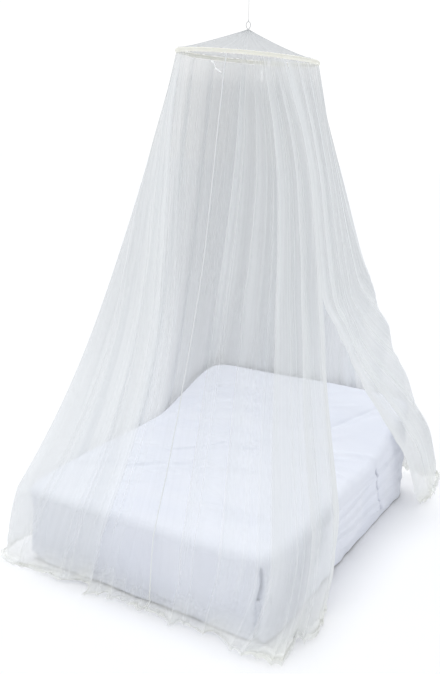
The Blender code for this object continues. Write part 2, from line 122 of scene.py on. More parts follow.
FOLDS = (
    # hoop_angle, half_width, height
    (-72.0, 2.2, 0.4), (-65.0, 2.4, 0.9), (-58.0, 2.2, 0.7), (-50.0, 2.6, 1.0), (-43.0, 2.2, 0.8),
    (-36.0, 2.4, 1.0),
    (-24.0, 3.2, 0.8), (-11.0, 4.0, 1.0), (3.0, 3.4, 0.7), (17.0, 4.2, 0.9), (30.0, 3.2, 0.6),
    (43.0, 4.0, 1.0), (57.0, 3.6, 0.8), (71.0, 4.4, 0.7), (86.0, 3.6, 1.0), (101.0, 4.2, 0.6),
    (116.0, 3.6, 0.9), (131.0, 4.4, 0.8), (147.0, 3.8, 1.0), (161.0, 3.4, 0.6), (175.0, 4.4, 0.9),
    (190.0, 3.6, 0.7), (203.0, 4.2, 1.0), (217.0, 3.2, 0.8), (228.0, 3.0, 0.6), (239.0, 3.6, 1.0),
    (249.0, 2.8, 0.7), (258.0, 3.0, 0.5), (267.0, 2.6, 0.4), (277.0, 2.6, 0.5),
)

# How the cloth differs round the hoop: how pleated it is, how much one calm layer covers up high, and how
# much less it covers beside and over the bed.
CLOTH = np.array((
    # hoop_angle, pleated, veil, low_cover
    (-180.0, 0.75, 0.46, 1.0),
    (-150.0, 0.90, 0.44, 1.0),
    (-132.0, 1.00, 0.38, 0.70),
    (-119.0, 1.00, 0.33, 0.48),
    (-112.0, 0.35, 0.29, 0.42),
    (-100.0, 0.10, 0.27, 0.40),
    (-80.0, 0.10, 0.27, 0.42),
    (-70.0, 0.30, 0.28, 0.42),
    (-58.0, 0.60, 0.31, 0.50),
    (-48.0, 0.90, 0.38, 0.75),
    (-40.0, 1.00, 0.43, 1.05),
    (-31.0, 1.00, 0.45, 1.10),
    (0.0, 1.00, 0.46, 1.0),
    (40.0, 0.90, 0.58, 1.1),
    (62.0, 0.45, 0.74, 1.15),
    (80.0, 0.15, 0.80, 1.1),
    (115.0, 0.12, 0.78, 1.0),
    (145.0, 0.20, 0.70, 1.0),
    (165.0, 0.60, 0.52, 1.0),
    (180.0, 0.75, 0.46, 1.0),
))

# Broad bands where the cloth lies double, each crisp at its first edge and soft at its second. They cover
# more, and they are also painted lighter, as painted light.
BANDS = (
    # crisp edge and soft edge on the hoop, strength
    (-121.0, -146.0, 0.50), (-113.5, -119.0, 0.22), (-149.0, -158.0, 0.35), (-163.0, -172.0, 0.45),
    (-64.8, -58.0, 0.34), (-56.8, -52.0, 0.22), (-49.3, -42.5, 0.42), (-40.5, -37.0, 0.30),
    (-33.8, -24.0, 0.60), (-20.5, -12.0, 0.45), (-9.0, -2.0, 0.50), (5.0, 12.0, 0.42), (18.0, 27.0, 0.50),
    (32.0, 40.0, 0.35), (54.0, 62.0, 0.30), (93.0, 86.0, 0.20), (120.0, 129.0, 0.25), (148.0, 156.0, 0.30),
    (170.0, 178.0, 0.40),
)
BAND_FORCE = 1.45
BAND_CRISP_DEG = 0.3

# Long folds by their place on the hoop: pleats in the mesh, whose gather also paints a highlight along them.
BRIGHT_FOLDS = (
    # hoop_angle, strength
    (-121.5, 1.5), (-118.0, 1.0), (-113.0, 0.5), (-104.0, 0.3), (-96.5, 0.2), (-64.5, 1.2), (-61.5, 0.5),
    (-56.5, 0.9), (-51.0, 0.8), (-49.0, 1.2), (-44.5, 0.8), (-38.5, 1.1), (-33.5, 1.3), (-20.0, 0.9),
    (-8.0, 1.1), (6.0, 0.8), (19.0, 1.2), (33.0, 0.8), (-131.0, 1.1), (-138.0, 0.8), (-147.0, 1.1),
    (168.0, 0.8), (-172.0, 1.0), (-160.0, 0.7), (55.0, 0.6), (94.0, 0.4), (121.0, 0.5), (149.0, 0.5),
)

# The net's colour runs between these two: a grey of painted shade and a white of painted light.
SHADED_NET_GREY = (0.645, 0.655, 0.665)
LIT_NET_WHITE = (0.93, 0.945, 0.95)
IVORY_NET = (0.93, 0.93, 0.885)

PLEAT_STEP_DEG = 2.5
PLEAT_SEED = 41
FULL_LENGTH_END = 2.6  # a pleat that ends past the hem, so it runs all the way down

# What changes from the hoop to the hem, each as shares and values: the pleats' height and width, and how
# strong the double bands and the finest pleats are.
PLEAT_HEIGHT = ((0.0, 0.1, 0.5, 1.0, 1.5, 2.0), (0.0025, 0.005, 0.010, 0.012, 0.018, 0.024))
PLEAT_WIDTH = ((0.0, 0.1, 0.5, 1.0, 2.0), (0.0035, 0.0050, 0.0085, 0.0105, 0.017))
DOUBLE_BY_SHARE = ((0.0, 0.15, 0.9, 1.6), (0.35, 1.0, 1.0, 0.4))
DENSE_BY_SHARE = ((0.0, 0.3, 1.0, 1.8, 2.2), (0.5, 1.0, 0.8, 0.9, 1.6))
LYING_FROM = 1.86
HEM_BAND_FROM = 2.165
HEM_END = 2.2
FLOOR_SKIN = 0.0015

# Where the material's streaks start across a panel. Panels with the same start have the same streaks.
UV_STARTS = {"net_near": 3.0, "net_head": 11.0}
UV_START_OTHERS = 7.0


# -------- shared shapes

def smooth_step(t):
    t = np.clip(t, 0.0, 1.0)
    return t * t * (3.0 - 2.0 * t)


def flowing(rows, column, at):
    """A column of a table at values of its first column, on a smooth curve that doesn't overshoot."""
    x, y = rows[:, 0], rows[:, column]
    step = np.diff(x)
    rise = np.diff(y) / step
    slope = np.zeros(len(x))
    same = rise[:-1] * rise[1:] > 0
    slope[1:-1][same] = 2.0 / (1.0 / rise[:-1][same] + 1.0 / rise[1:][same])
    slope[0], slope[-1] = rise[0], rise[-1]
    at = np.clip(at, x[0], x[-1])
    i = np.clip(np.searchsorted(x, at, side="right") - 1, 0, len(x) - 2)
    t = (at - x[i]) / step[i]
    a, b = y[i], y[i + 1]
    da, db = slope[i] * step[i], slope[i + 1] * step[i]
    return ((2 * t**3 - 3 * t**2 + 1) * a + (t**3 - 2 * t**2 + t) * da
            + (3 * t**2 - 2 * t**3) * b + (t**3 - t**2) * db)


def turned(degrees):
    """The same angle between -180 and 180."""
    return (np.asarray(degrees, float) + 180.0) % 360.0 - 180.0


def footprint(turn):
    """at_bed_edge, at_floor, hem_spread and hollow at an angle round the bed."""
    i = np.clip(np.searchsorted(FOOTPRINT[:, 0], turn, side="right") - 1, 0, len(FOOTPRINT) - 2)
    low, high = FOOTPRINT[i], FOOTPRINT[i + 1]
    part = smooth_step((turn - low[..., 0]) / (high[..., 0] - low[..., 0]))[..., None]
    return np.moveaxis((low + (high - low) * part)[..., 1:], -1, 0)


def bed_radius(angle, half_width, half_length):
    across = np.abs(np.cos(angle) / half_width) ** CORNER_POWER
    along = np.abs(np.sin(angle) / half_length) ** CORNER_POWER
    return (across + along) ** (-1.0 / CORNER_POWER)


def cover_top(x, y):
    crown = (1.0 - (x / BED_HALF_WIDTH) ** 4) * (1.0 - (y / BED_HALF_LENGTH) ** 4)
    pillows = smooth_step((y - PILLOW_START_Y) / (BED_HALF_LENGTH - PILLOW_START_Y))
    return COVER_EDGE_TOP + COVER_CROWN * np.maximum(0.0, crown) + PILLOW_RISE * pillows


def hoop_height(x, y):
    return HOOP_CENTRE[2] - (x - HOOP_CENTRE[0]) * HOOP_LOW_X - (y - HOOP_CENTRE[1]) * HOOP_LOW_Y


def wall(degrees, share):
    """The wall without its folds: share 0 at the hoop, 1 at the bed's top edge, 2 at the floor."""
    degrees, share = np.broadcast_arrays(np.asarray(degrees, float), np.asarray(share, float))
    turn = turned(degrees)
    angle = np.radians(turn)
    at_edge, at_floor, spread, hollow = footprint(turn)
    ca, sa = np.cos(angle), np.sin(angle)
    edge = bed_radius(angle, BED_HALF_WIDTH + at_edge, BED_HALF_LENGTH + at_edge)
    bed = bed_radius(angle, BED_HALF_WIDTH, BED_HALF_LENGTH)
    edge_z = cover_top(ca * bed, sa * bed) - 0.02
    top_x = HOOP_CENTRE[0] + HOOP_RADIUS * ca
    top_y = HOOP_CENTRE[1] + HOOP_RADIUS * sa
    top_z = hoop_height(top_x, top_y) - WALL_DROP
    high = np.clip(share, 0.0, 1.0)
    went = high - hollow * (0.2 + 0.45 * high) * high * (1.0 - high)
    down = np.clip(share - 1.0, 0.0, 1.0)
    floor = bed_radius(angle, BED_HALF_WIDTH + at_floor, BED_HALF_LENGTH + at_floor)
    reach = edge + (floor - edge) * (1.0 - (1.0 - down) ** 1.7)
    reach = reach + spread * np.clip((share - 1.9) / 0.3, 0.0, 1.0)
    low = share > 1.0
    x = np.where(low, ca * reach, top_x + (ca * edge - top_x) * went)
    y = np.where(low, sa * reach, top_y + (sa * edge - top_y) * went)
    z = np.where(low, HEM_LIFT + (edge_z - HEM_LIFT) * (1.0 - down), top_z + (edge_z - top_z) * high)
    return np.stack([x, y, z], -1)


def waves(seed, at, slowest, quickest, count):
    """An uneven wave about 0, within about 1: a sum of sines with random places and strengths."""
    draw = np.random.default_rng(seed)
    total = np.zeros_like(np.asarray(at, float))
    for _ in range(count):
        rate = slowest * (quickest / slowest) ** draw.random()
        total = total + np.sin(at * rate + draw.random() * 2.0 * math.pi) * (slowest / rate) ** 0.35
    return total / math.sqrt(count)


def hump(t):
    return np.exp(-(t ** 2))


def joined(*parts):
    """Arrays brought to one shape and put side by side, as coordinates of points."""
    return np.stack(np.broadcast_arrays(*parts), -1)


def run_along(line):
    """How far along a line each of its points is."""
    return np.concatenate([[0.0], np.cumsum(np.linalg.norm(np.diff(line, axis=0), axis=1))])


def round_hoop(rad, radius=HOOP_RADIUS):
    """x and y on a circle round the hoop's axis."""
    return HOOP_CENTRE[0] + radius * np.cos(rad), HOOP_CENTRE[1] + radius * np.sin(rad)


# -------- meshes

def placed(name, data):
    made = bpy.data.objects.new(name, data)
    bpy.context.scene.collection.objects.link(made)
    return made


def grid_faces(columns, rows, start, closed):
    index = start + np.arange(columns * rows).reshape(columns, rows)
    if closed:
        index = np.vstack([index, index[:1]])
    return np.stack([index[:-1, :-1], index[1:, :-1], index[1:, 1:], index[:-1, 1:]], -1).reshape(-1, 4)


def grid_object(name, grids, finish, closed=False, flip=False):
    """One mesh of several grids. A grid is (points, uv, values), and values are named numbers per point."""
    points, faces, loops_uv, values, start = [], [], [], {}, 0
    for spots, uv, extra in grids:
        columns, rows = spots.shape[:2]
        quads = grid_faces(columns, rows, start, closed)
        if flip:
            quads = quads[:, ::-1]
        corner = grid_faces(columns + 1 if closed else columns, rows, 0, False)
        if flip:
            corner = corner[:, ::-1]
        loops_uv.append(uv.reshape(-1, 2)[corner.ravel()])
        points.append(spots.reshape(-1, 3))
        faces.append(quads)
        for key, value in extra.items():
            values.setdefault(key, []).append(np.broadcast_to(value, (columns, rows)).ravel())
        start += columns * rows
    points, faces, loops_uv = np.concatenate(points), np.concatenate(faces), np.concatenate(loops_uv)
    mesh = bpy.data.meshes.new(name)
    mesh.vertices.add(len(points))
    mesh.vertices.foreach_set("co", (points + MIDDLE).astype(np.float32).ravel())
    mesh.loops.add(faces.size)
    mesh.loops.foreach_set("vertex_index", faces.astype(np.int32).ravel())
    mesh.polygons.add(len(faces))
    mesh.polygons.foreach_set("loop_start", np.arange(0, faces.size, 4, dtype=np.int32))
    mesh.update(calc_edges=True)
    layer = mesh.uv_layers.new(name="cloth")
    layer.data.foreach_set("uv", loops_uv.astype(np.float32).ravel())
    for key, parts in values.items():
        made = mesh.attributes.new(key, "FLOAT", "POINT")
        made.data.foreach_set("value", np.concatenate(parts).astype(np.float32))
    mesh.shade_smooth()
    mesh.materials.append(finish)
    return placed(name, mesh)


def tube(path, radius, sides):
    """A round tube's grid along points. radius is one number or one for each point."""
    path = np.asarray(path, float)
    along = np.gradient(path, axis=0)
    along /= np.linalg.norm(along, axis=1)[:, None]
    side = np.cross(along[0], (0.0, 1.0, 0.0) if abs(along[0][1]) < 0.9 else (1.0, 0.0, 0.0))
    sides_at = []
    for direction in along:
        side = side - direction * (side @ direction)
        side = side / np.linalg.norm(side)
        sides_at.append(side)
    one = np.array(sides_at)
    two = np.cross(along, one)
    turn = np.linspace(0.0, 2.0 * math.pi, sides, endpoint=False)
    radius = np.broadcast_to(np.asarray(radius, float), (len(path),))
    ring = (one[None] * np.cos(turn)[:, None, None] + two[None] * np.sin(turn)[:, None, None])
    spots = path[None] + ring * radius[None, :, None]
    around = np.linspace(0.0, 2.0 * math.pi * radius.mean(), sides + 1)
    return spots, joined(around[:, None], run_along(path)[None]), {}


# -------- materials

class Finish:
    """A material with a Principled shader, and short ways to add nodes to it."""

    def __init__(self, name, roughness, **constants):
        self.material = bpy.data.materials.new(name)
        self.material.use_nodes = True
        self.tree = self.material.node_tree
        self.shader = self.tree.nodes["Principled BSDF"]
        self.shader.inputs["Roughness"].default_value = roughness
        for socket, value in constants.items():
            self.shader.inputs[socket.replace("_", " ")].default_value = value

    def node(self, kind, inputs=None, **settings):
        made = self.tree.nodes.new(kind)
        for key, value in settings.items():
            setattr(made, key, value)
        for socket, value in (inputs or {}).items():
            self.put(value, made.inputs[socket])
        return made

    def put(self, value, socket):
        if isinstance(value, bpy.types.NodeSocket):
            self.tree.links.new(value, socket)
        elif isinstance(value, tuple) and len(value) == 3 and socket.type == "RGBA":
            socket.default_value = (*value, 1.0)
        else:
            socket.default_value = value

    def math(self, operation, a, b, clamp=False):
        return self.node("ShaderNodeMath", {0: a, 1: b}, operation=operation, use_clamp=clamp).outputs[0]

    def mix(self, part, a, b):
        return self.node("ShaderNodeMix", {0: part, 6: a, 7: b}, data_type="RGBA").outputs[2]

    def scaled(self, vector, scale):
        return self.node("ShaderNodeMapping", {"Vector": vector, "Scale": scale}).outputs[0]

    def cloth_uv(self, scale=(1.0, 1.0, 1.0)):
        return self.scaled(self.node("ShaderNodeUVMap", uv_map="cloth").outputs[0], scale)

    def place(self, scale=(1.0, 1.0, 1.0)):
        return self.scaled(self.node("ShaderNodeTexCoord").outputs["Object"], scale)

    def noise(self, vector, scale, detail=2.0, roughness=0.5):
        inputs = {"Vector": vector, "Scale": scale, "Detail": detail, "Roughness": roughness}
        return self.node("ShaderNodeTexNoise", inputs).outputs[0]

    def wave(self, vector, scale, bands="X", distortion=0.0):
        inputs = {"Vector": vector, "Scale": scale, "Distortion": distortion}
        return self.node("ShaderNodeTexWave", inputs, wave_type="BANDS", bands_direction=bands).outputs["Fac"]

    def cells(self, vector, scale):
        inputs = {"Vector": vector, "Scale": scale, "Randomness": 0.25}
        return self.node("ShaderNodeTexVoronoi", inputs, feature="DISTANCE_TO_EDGE",
                         voronoi_dimensions="2D").outputs["Distance"]

    def spread(self, value, low, high, to_low=0.0, to_high=1.0):
        inputs = {0: value, 1: low, 2: high, 3: to_low, 4: to_high}
        return self.node("ShaderNodeMapRange", inputs).outputs[0]

    def attribute(self, name):
        return self.node("ShaderNodeAttribute", attribute_name=name).outputs["Fac"]

    def bump(self, height, distance, strength=1.0):
        made = self.node("ShaderNodeBump", {"Height": height, "Distance": distance, "Strength": strength})
        self.tree.links.new(made.outputs[0], self.shader.inputs["Normal"])

    def colour(self, value):
        self.put(value, self.shader.inputs["Base Color"])

    def alpha(self, value):
        self.put(value, self.shader.inputs["Alpha"])


NET_CELLS_PER_METRE = 550.0
CASING_GLOW = 0.07  # in place of light that comes through the cloth
# The ribbons and the casing's stitches glow a little: painted light that makes them look whiter.
RIBBON_PAINTED_LIGHT = 0.25


def net_finish():
    """Fine knitted net: it covers more where it is gathered, in soft streaks along the cloth. Its colour is
    painted light and shade, from a shaded grey to a lit white.
    """
    made = Finish("net", 0.85, Sheen_Weight=0.15, Specular_IOR_Level=0.2)
    gather = made.attribute("gather")
    veil = made.attribute("veil")
    tone = made.attribute("tone")
    ivory = made.attribute("ivory")
    fine = made.noise(made.cloth_uv((24.0, 0.35, 1.0)), 1.0, 3.0, 0.5)
    broad = made.noise(made.cloth_uv((6.5, 0.15, 1.0)), 1.0, 2.0, 0.5)
    streak = made.math("ADD", made.spread(fine, 0.3, 0.7, -0.4, 0.4),
                       made.spread(broad, 0.3, 0.7, -0.6, 0.6))
    lively = made.spread(gather, 0.05, 0.8, 0.12, 0.55)
    streak = made.math("MULTIPLY", streak, lively)
    cells = made.cells(made.cloth_uv(), NET_CELLS_PER_METRE)
    threads = made.spread(cells, 0.05, 0.35, 1.15, 0.88)
    layers = made.math("ADD", 1.0, made.math("MULTIPLY", gather, 3.0))
    uneven = made.math("ADD", 1.0, streak)
    layers = made.math("MULTIPLY", made.math("MULTIPLY", layers, uneven), threads)
    clear = made.math("SUBTRACT", 1.0, veil)
    made.alpha(made.math("SUBTRACT", 1.0, made.math("POWER", clear, layers), clamp=True))
    # painted light and shade: the colour goes from the shaded grey to the lit white by the painted light
    # attribute, with the streaks
    light = made.math("ADD", tone, made.math("MULTIPLY", streak, 0.35), clamp=True)
    made.colour(made.mix(ivory, made.mix(light, SHADED_NET_GREY, LIT_NET_WHITE), IVORY_NET))
    made.bump(made.math("ADD", fine, made.math("MULTIPLY", cells, 0.3)), 0.0012, 0.5)
    return made.material


def casing_finish():
    made = Finish("casing", 0.8, Sheen_Weight=0.2, Emission_Color=(1.0, 0.97, 0.85, 1.0),
                  Emission_Strength=CASING_GLOW)
    weave = made.wave(made.cloth_uv(), 260.0, "X", 0.4)
    ribs = made.wave(made.cloth_uv(), 300.0, "Y", 0.4)
    mottled = made.noise(made.cloth_uv((30.0, 30.0, 1.0)), 1.0, 3.0)
    made.colour(made.mix(made.spread(mottled, 0.3, 0.7), (0.93, 0.91, 0.80), (0.97, 0.96, 0.88)))
    made.bump(made.math("ADD", made.math("ADD", weave, ribs), mottled), 0.0004, 0.6)
    return made.material


def cover_finish():
    made = Finish("cover", 0.82, Sheen_Weight=0.1, Specular_IOR_Level=0.3)
    across = made.wave(made.place(), 900.0, "X", 0.6)
    along = made.wave(made.place(), 900.0, "Y", 0.6)
    soft = made.noise(made.place((2.2, 6.0, 2.2)), 1.0, 3.0)
    crumple = made.noise(made.place((7.0, 16.0, 9.0)), 1.0, 4.0, 0.55)
    cloth = made.mix(made.spread(soft, 0.3, 0.7), (0.86, 0.88, 0.955), (0.90, 0.915, 0.975))
    # painted shade: the cover's gaps are darkened towards a blue-black, as shade falling into them
    made.colour(made.mix(made.attribute("gap"), cloth, (0.13, 0.15, 0.22)))
    weave = made.math("MULTIPLY", made.math("ADD", across, along), 0.03)
    made.bump(made.math("ADD", weave, crumple), 0.006, 0.45)
    return made.material


def plain_finish(name, colour, second, roughness, scale, depth, **constants):
    """A finish with mottled colour and a fine grain."""
    made = Finish(name, roughness, **constants)
    grain = made.noise(made.place(), scale, 4.0)
    made.colour(made.mix(made.spread(grain, 0.35, 0.65), colour, second))
    made.bump(grain, depth, 0.4)
    return made.material


def string_finish():
    made = Finish("string", 0.8)
    twist = made.wave(made.cloth_uv((150.0, 260.0, 1.0)), 1.0, "DIAGONAL")
    # painted shade: the twist's grooves are darker, following the same waves as the bump
    made.colour(made.mix(twist, (0.62, 0.62, 0.62), (0.88, 0.88, 0.87)))
    made.bump(twist, 0.0004, 0.8)
    return made.material


NET = net_finish()
CASING = casing_finish()
COVER = cover_finish()
RIBBON = plain_finish("ribbon", (0.94, 0.94, 0.93), (0.99, 0.99, 0.98), 0.7, 900.0, 0.0003,
                      Emission_Strength=RIBBON_PAINTED_LIGHT, Emission_Color=(1.0, 1.0, 0.99, 1.0))
HOOP = plain_finish("hoop", (0.78, 0.77, 0.72), (0.86, 0.85, 0.80), 0.45, 300.0, 0.0002)
STEEL = plain_finish("steel", (0.50, 0.51, 0.52), (0.66, 0.67, 0.68), 0.35, 500.0, 0.0001, Metallic=0.9)
LEG = plain_finish("leg", (0.05, 0.05, 0.055), (0.09, 0.09, 0.10), 0.5, 90.0, 0.0004)
BASE = plain_finish("base", (0.55, 0.56, 0.60), (0.66, 0.67, 0.71), 0.9, 400.0, 0.0006)
MATTRESS = plain_finish("mattress", (0.88, 0.89, 0.92), (0.95, 0.95, 0.97), 0.9, 500.0, 0.0006)
STRING = string_finish()


# -------- camera and string

CAMERA_AT = np.array([2.089, -3.741, 2.236])
CAMERA_YAW = math.radians(-30.54)
CAMERA_DOWN = math.radians(14.85)
CAMERA_ROLL = math.radians(1.17)
CAMERA_LENS = 43.07


def make_camera():
    forward = Vector((math.sin(CAMERA_YAW) * math.cos(CAMERA_DOWN),
                      math.cos(CAMERA_YAW) * math.cos(CAMERA_DOWN), -math.sin(CAMERA_DOWN)))
    right = Vector((math.cos(CAMERA_YAW), -math.sin(CAMERA_YAW), 0.0))
    up = right.cross(forward)
    rolled_right = right * math.cos(CAMERA_ROLL) + up * math.sin(CAMERA_ROLL)
    rolled_up = up * math.cos(CAMERA_ROLL) - right * math.sin(CAMERA_ROLL)
    data = bpy.data.cameras.new("camera")
    data.lens = CAMERA_LENS
    data.sensor_width = 36.0
    data.clip_end = 100.0
    camera = placed("camera", data)
    turned_axes = Matrix((rolled_right, rolled_up, -forward)).transposed()
    camera.matrix_world = Matrix.Translation(Vector(CAMERA_AT + MIDDLE)) @ turned_axes.to_4x4()
    bpy.context.scene.camera = camera


STRING_LOW = 2.7259
STRING_HIGH = 2.8496
STRING_RADIUS = 0.001
STRING_POINTS = 160
KNOT_AT = 0.004
KNOT_CORD_RADIUS = 0.0009


def make_string():
    """The taut hanging string, from the eye up to the ceiling hook, with a small knot at each end."""
    path = joined(HOOP_CENTRE[0], HOOP_CENTRE[1], np.linspace(STRING_LOW, STRING_HIGH, STRING_POINTS))
    spots, uv, extra = tube(path, STRING_RADIUS, 12)
    string = grid_object("string_cord", [(spots, uv, extra)], STRING, closed=True)
    turn = np.linspace(0.0, 2.0 * math.pi, 90)
    knot_x, knot_y = round_hoop(2.0 * turn, 0.0012 + 0.0008 * np.cos(3.0 * turn))
    for name, height in (("string_knot_low", STRING_LOW + KNOT_AT),
                         ("string_knot_high", STRING_HIGH - KNOT_AT)):
        loop = joined(knot_x, knot_y, height + 0.0016 * np.sin(3.0 * turn))
        knot = grid_object(name, [tube(loop, KNOT_CORD_RADIUS, 8)], STRING, closed=True)
        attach(knot, "root")
    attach(string, "root")
    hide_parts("string")


make_camera()
make_string()


# -------- net wall

PANELS = (
    # name, from_line, to_line, columns, flat width, flat length, flat area
    ("net_near", "front_seam", "entrance_front", 520, 1.80, 2.85, 2.9),
    ("net_right", "entrance_rear", "head_seam", 800, 2.40, 2.85, 3.7),
    ("net_head", "head_seam", "back_seam", 620, 1.65, 2.85, 2.6),
    ("net_left", "back_seam", "left_seam", 560, 1.60, 2.85, 2.5),
    ("net_foot", "left_seam", "front_seam", 700, 2.10, 2.85, 3.3),
)

# How the cloth of two panels drifts towards the front seam on its way down.
NEAR_DRIFT = np.array((
    # share, power
    (0.0, 1.0), (0.08, 1.12), (0.3, 1.36), (0.5, 1.5), (0.8, 1.5), (1.3, 1.42), (2.2, 1.35),
))
FOOT_DRIFT = np.array((
    # share, part
    (0.0, 0.0), (0.1, 0.2), (0.32, 0.6), (0.7, 1.0), (1.0, 0.96), (1.5, 0.88), (2.2, 0.80),
))
FOOT_POWER = 4.5

ROW_SPANS = (
    # from share, to share, rows
    (0.0, 0.06, 8), (0.06, 0.94, 34), (0.94, 1.08, 10), (1.08, LYING_FROM, 20), (LYING_FROM, HEM_END, 25),
)


def line_angle(line, share):
    if line in PLAIN_SEAMS:
        return np.full_like(share, PLAIN_SEAMS[line])
    return flowing(SECTIONS, SECTION_COLUMNS[line], share)


def wall_rows():
    """Shares of the wall's rows: close together at the hoop, at the bed's edge and in the hem."""
    return np.concatenate([np.linspace(low, high, count, endpoint=high == HEM_END)
                           for low, high, count in ROW_SPANS])


def drifted(name, part, share):
    """Where across its panel a column is at each share."""
    if name == "net_near":
        return part ** flowing(NEAR_DRIFT, 1, share)
    if name == "net_foot":
        pulled = 0.85 * (1.0 - (1.0 - part) ** FOOT_POWER) + 0.15 * part
        return part + (pulled - part) * flowing(FOOT_DRIFT, 1, share)
    return part


def pleats(name, hoop_angle, arc, share):
    """Outward and sideways moves of the small pleats, and how gathered they leave the cloth."""
    draw = np.random.default_rng(PLEAT_SEED + len(name) * 7 + ord(name[-1]))
    low, high = hoop_angle[0], hoop_angle[-1]
    centres, strengths, widths, ends = [], [], [], []
    at = low
    while at < high:
        at += PLEAT_STEP_DEG * (0.55 + 0.9 * draw.random())
        lively = flowing(CLOTH, 1, np.array([turned(at)]))[0]
        centres.append(at)
        strengths.append(lively * (0.12 + 0.95 * draw.random() ** 2.2))
        widths.append(0.55 + 1.5 * draw.random() ** 2)
        ends.append(FULL_LENGTH_END if draw.random() < 0.62 else 0.25 + 1.1 * draw.random())
    for place, strength in BRIGHT_FOLDS:
        place = low + (place - low) % 360.0
        if place < high:
            centres.append(place)
            strengths.append(strength)
            widths.append(0.9)
            ends.append(FULL_LENGTH_END)
    out = np.zeros_like(arc)
    side = np.zeros_like(arc)
    gather = np.zeros_like(arc)
    height, width = np.interp(share, *PLEAT_HEIGHT), np.interp(share, *PLEAT_WIDTH)
    for number, (centre, strength, wide, end) in enumerate(zip(centres, strengths, widths, ends)):
        column = np.interp(centre, hoop_angle, np.arange(len(hoop_angle)))
        below = int(column)
        above = min(below + 1, len(hoop_angle) - 1)
        middle = arc[below] + (arc[above] - arc[below]) * (column - below)
        wander = waves(900 + number, share * 3.0, 1.0, 3.0, 3)
        middle = middle + 0.006 * wander * np.clip(share * 2.0, 0.0, 1.0)
        fade = 1.0 - smooth_step((share - end + 0.2) / 0.4)
        alive = fade * (0.75 + 0.35 * waves(300 + number, share * 4.0, 1.0, 3.0, 3))
        away = (arc - middle) / (width * wide)
        bump = np.exp(-np.minimum(away**2, 30.0))
        force = strength * alive
        out += force * height * bump
        side -= 0.62 * np.minimum(force, 1.0) * width * wide * away * bump
        gather += 0.40 * force * np.exp(-np.minimum((away / 0.5) ** 2, 30.0))
    return out, side, gather


def band_strength(hoop_angle):
    """How much a column's cloth lies double."""
    total = np.zeros_like(hoop_angle)
    for crisp, soft, strength in BANDS:
        way = 1.0 if soft > crisp else -1.0
        past = turned(hoop_angle - crisp) * way
        rise = smooth_step((past + BAND_CRISP_DEG / 2.0) / BAND_CRISP_DEG)
        fall = 1.0 - smooth_step(past / abs(soft - crisp))
        total += BAND_FORCE * strength * rise * fall * (past < 90.0)
    return total


def fold_height(hoop_angle):
    total = np.zeros_like(hoop_angle)
    for centre, half_width, height in FOLDS:
        total += height * hump(turned(hoop_angle - centre) / half_width)
    return total


def net_values(gather, edge, angle, hoop_angle, share):
    """What the net's material is told at each point: how gathered, veiling and ivory the cloth is, and its
    painted light, which lifts its colour from the shaded grey to the lit white.
    """
    hem = np.clip((share - HEM_BAND_FROM) / 0.02, 0.0, 1.0)[None, :]
    lively, thin, low_cover = (flowing(CLOTH, column, turned(hoop_angle))[:, None] for column in (1, 2, 3))
    beside_bed = (smooth_step((share - 0.42) / 0.25) * (1.0 - smooth_step((share - 1.5) / 0.5)))[None, :]
    cover = 1.0 + (low_cover - 1.0) * beside_bed
    dense = 0.16 * lively * np.interp(share, *DENSE_BY_SHARE)[None, :]
    patchy = waves(88, np.radians(hoop_angle)[:, None] * 16.0 + share * 0.5, 0.5, 2.5, 6)
    dense = dense * (0.75 + 0.5 * patchy) * cover
    near_floor = smooth_step((share - 1.5) / 0.6)[None, :]
    blotch = waves(77, np.radians(angle) * 30.0 + share[None, :] * 9.0, 0.5, 3.0, 5)
    blotch = np.clip(0.5 + 0.5 * blotch, 0.0, 1.0)
    gather = gather * (0.45 + 0.55 * cover) + dense + edge + 0.30 * hem + 0.5 * near_floor * blotch
    veil = thin * cover * (0.72 + 0.28 * smooth_step((share - 0.015) / 0.06))[None, :]
    # Painted light and shade: the colour is painted lighter where the cloth is pleated, gathered and low
    # down, and the far side, where the veil is thicker, is kept darker as painted shade.
    far_side_shade = smooth_step((thin - 0.5) / 0.12)
    low = smooth_step((share - 0.45) / 0.4)[None, :] * (1.0 - 0.75 * far_side_shade)
    tone = 0.06 + 0.45 * lively + 0.40 * low + 0.95 * gather
    ivory = np.clip(0.75 * near_floor * np.clip(0.3 + blotch, 0.0, 1.0) + 0.12, 0.0, 1.0)
    gather, tone = np.clip(gather, 0.0, 4.0), np.clip(tone, 0.0, 1.0)
    return {"gather": gather, "veil": veil, "tone": tone, "ivory": ivory}


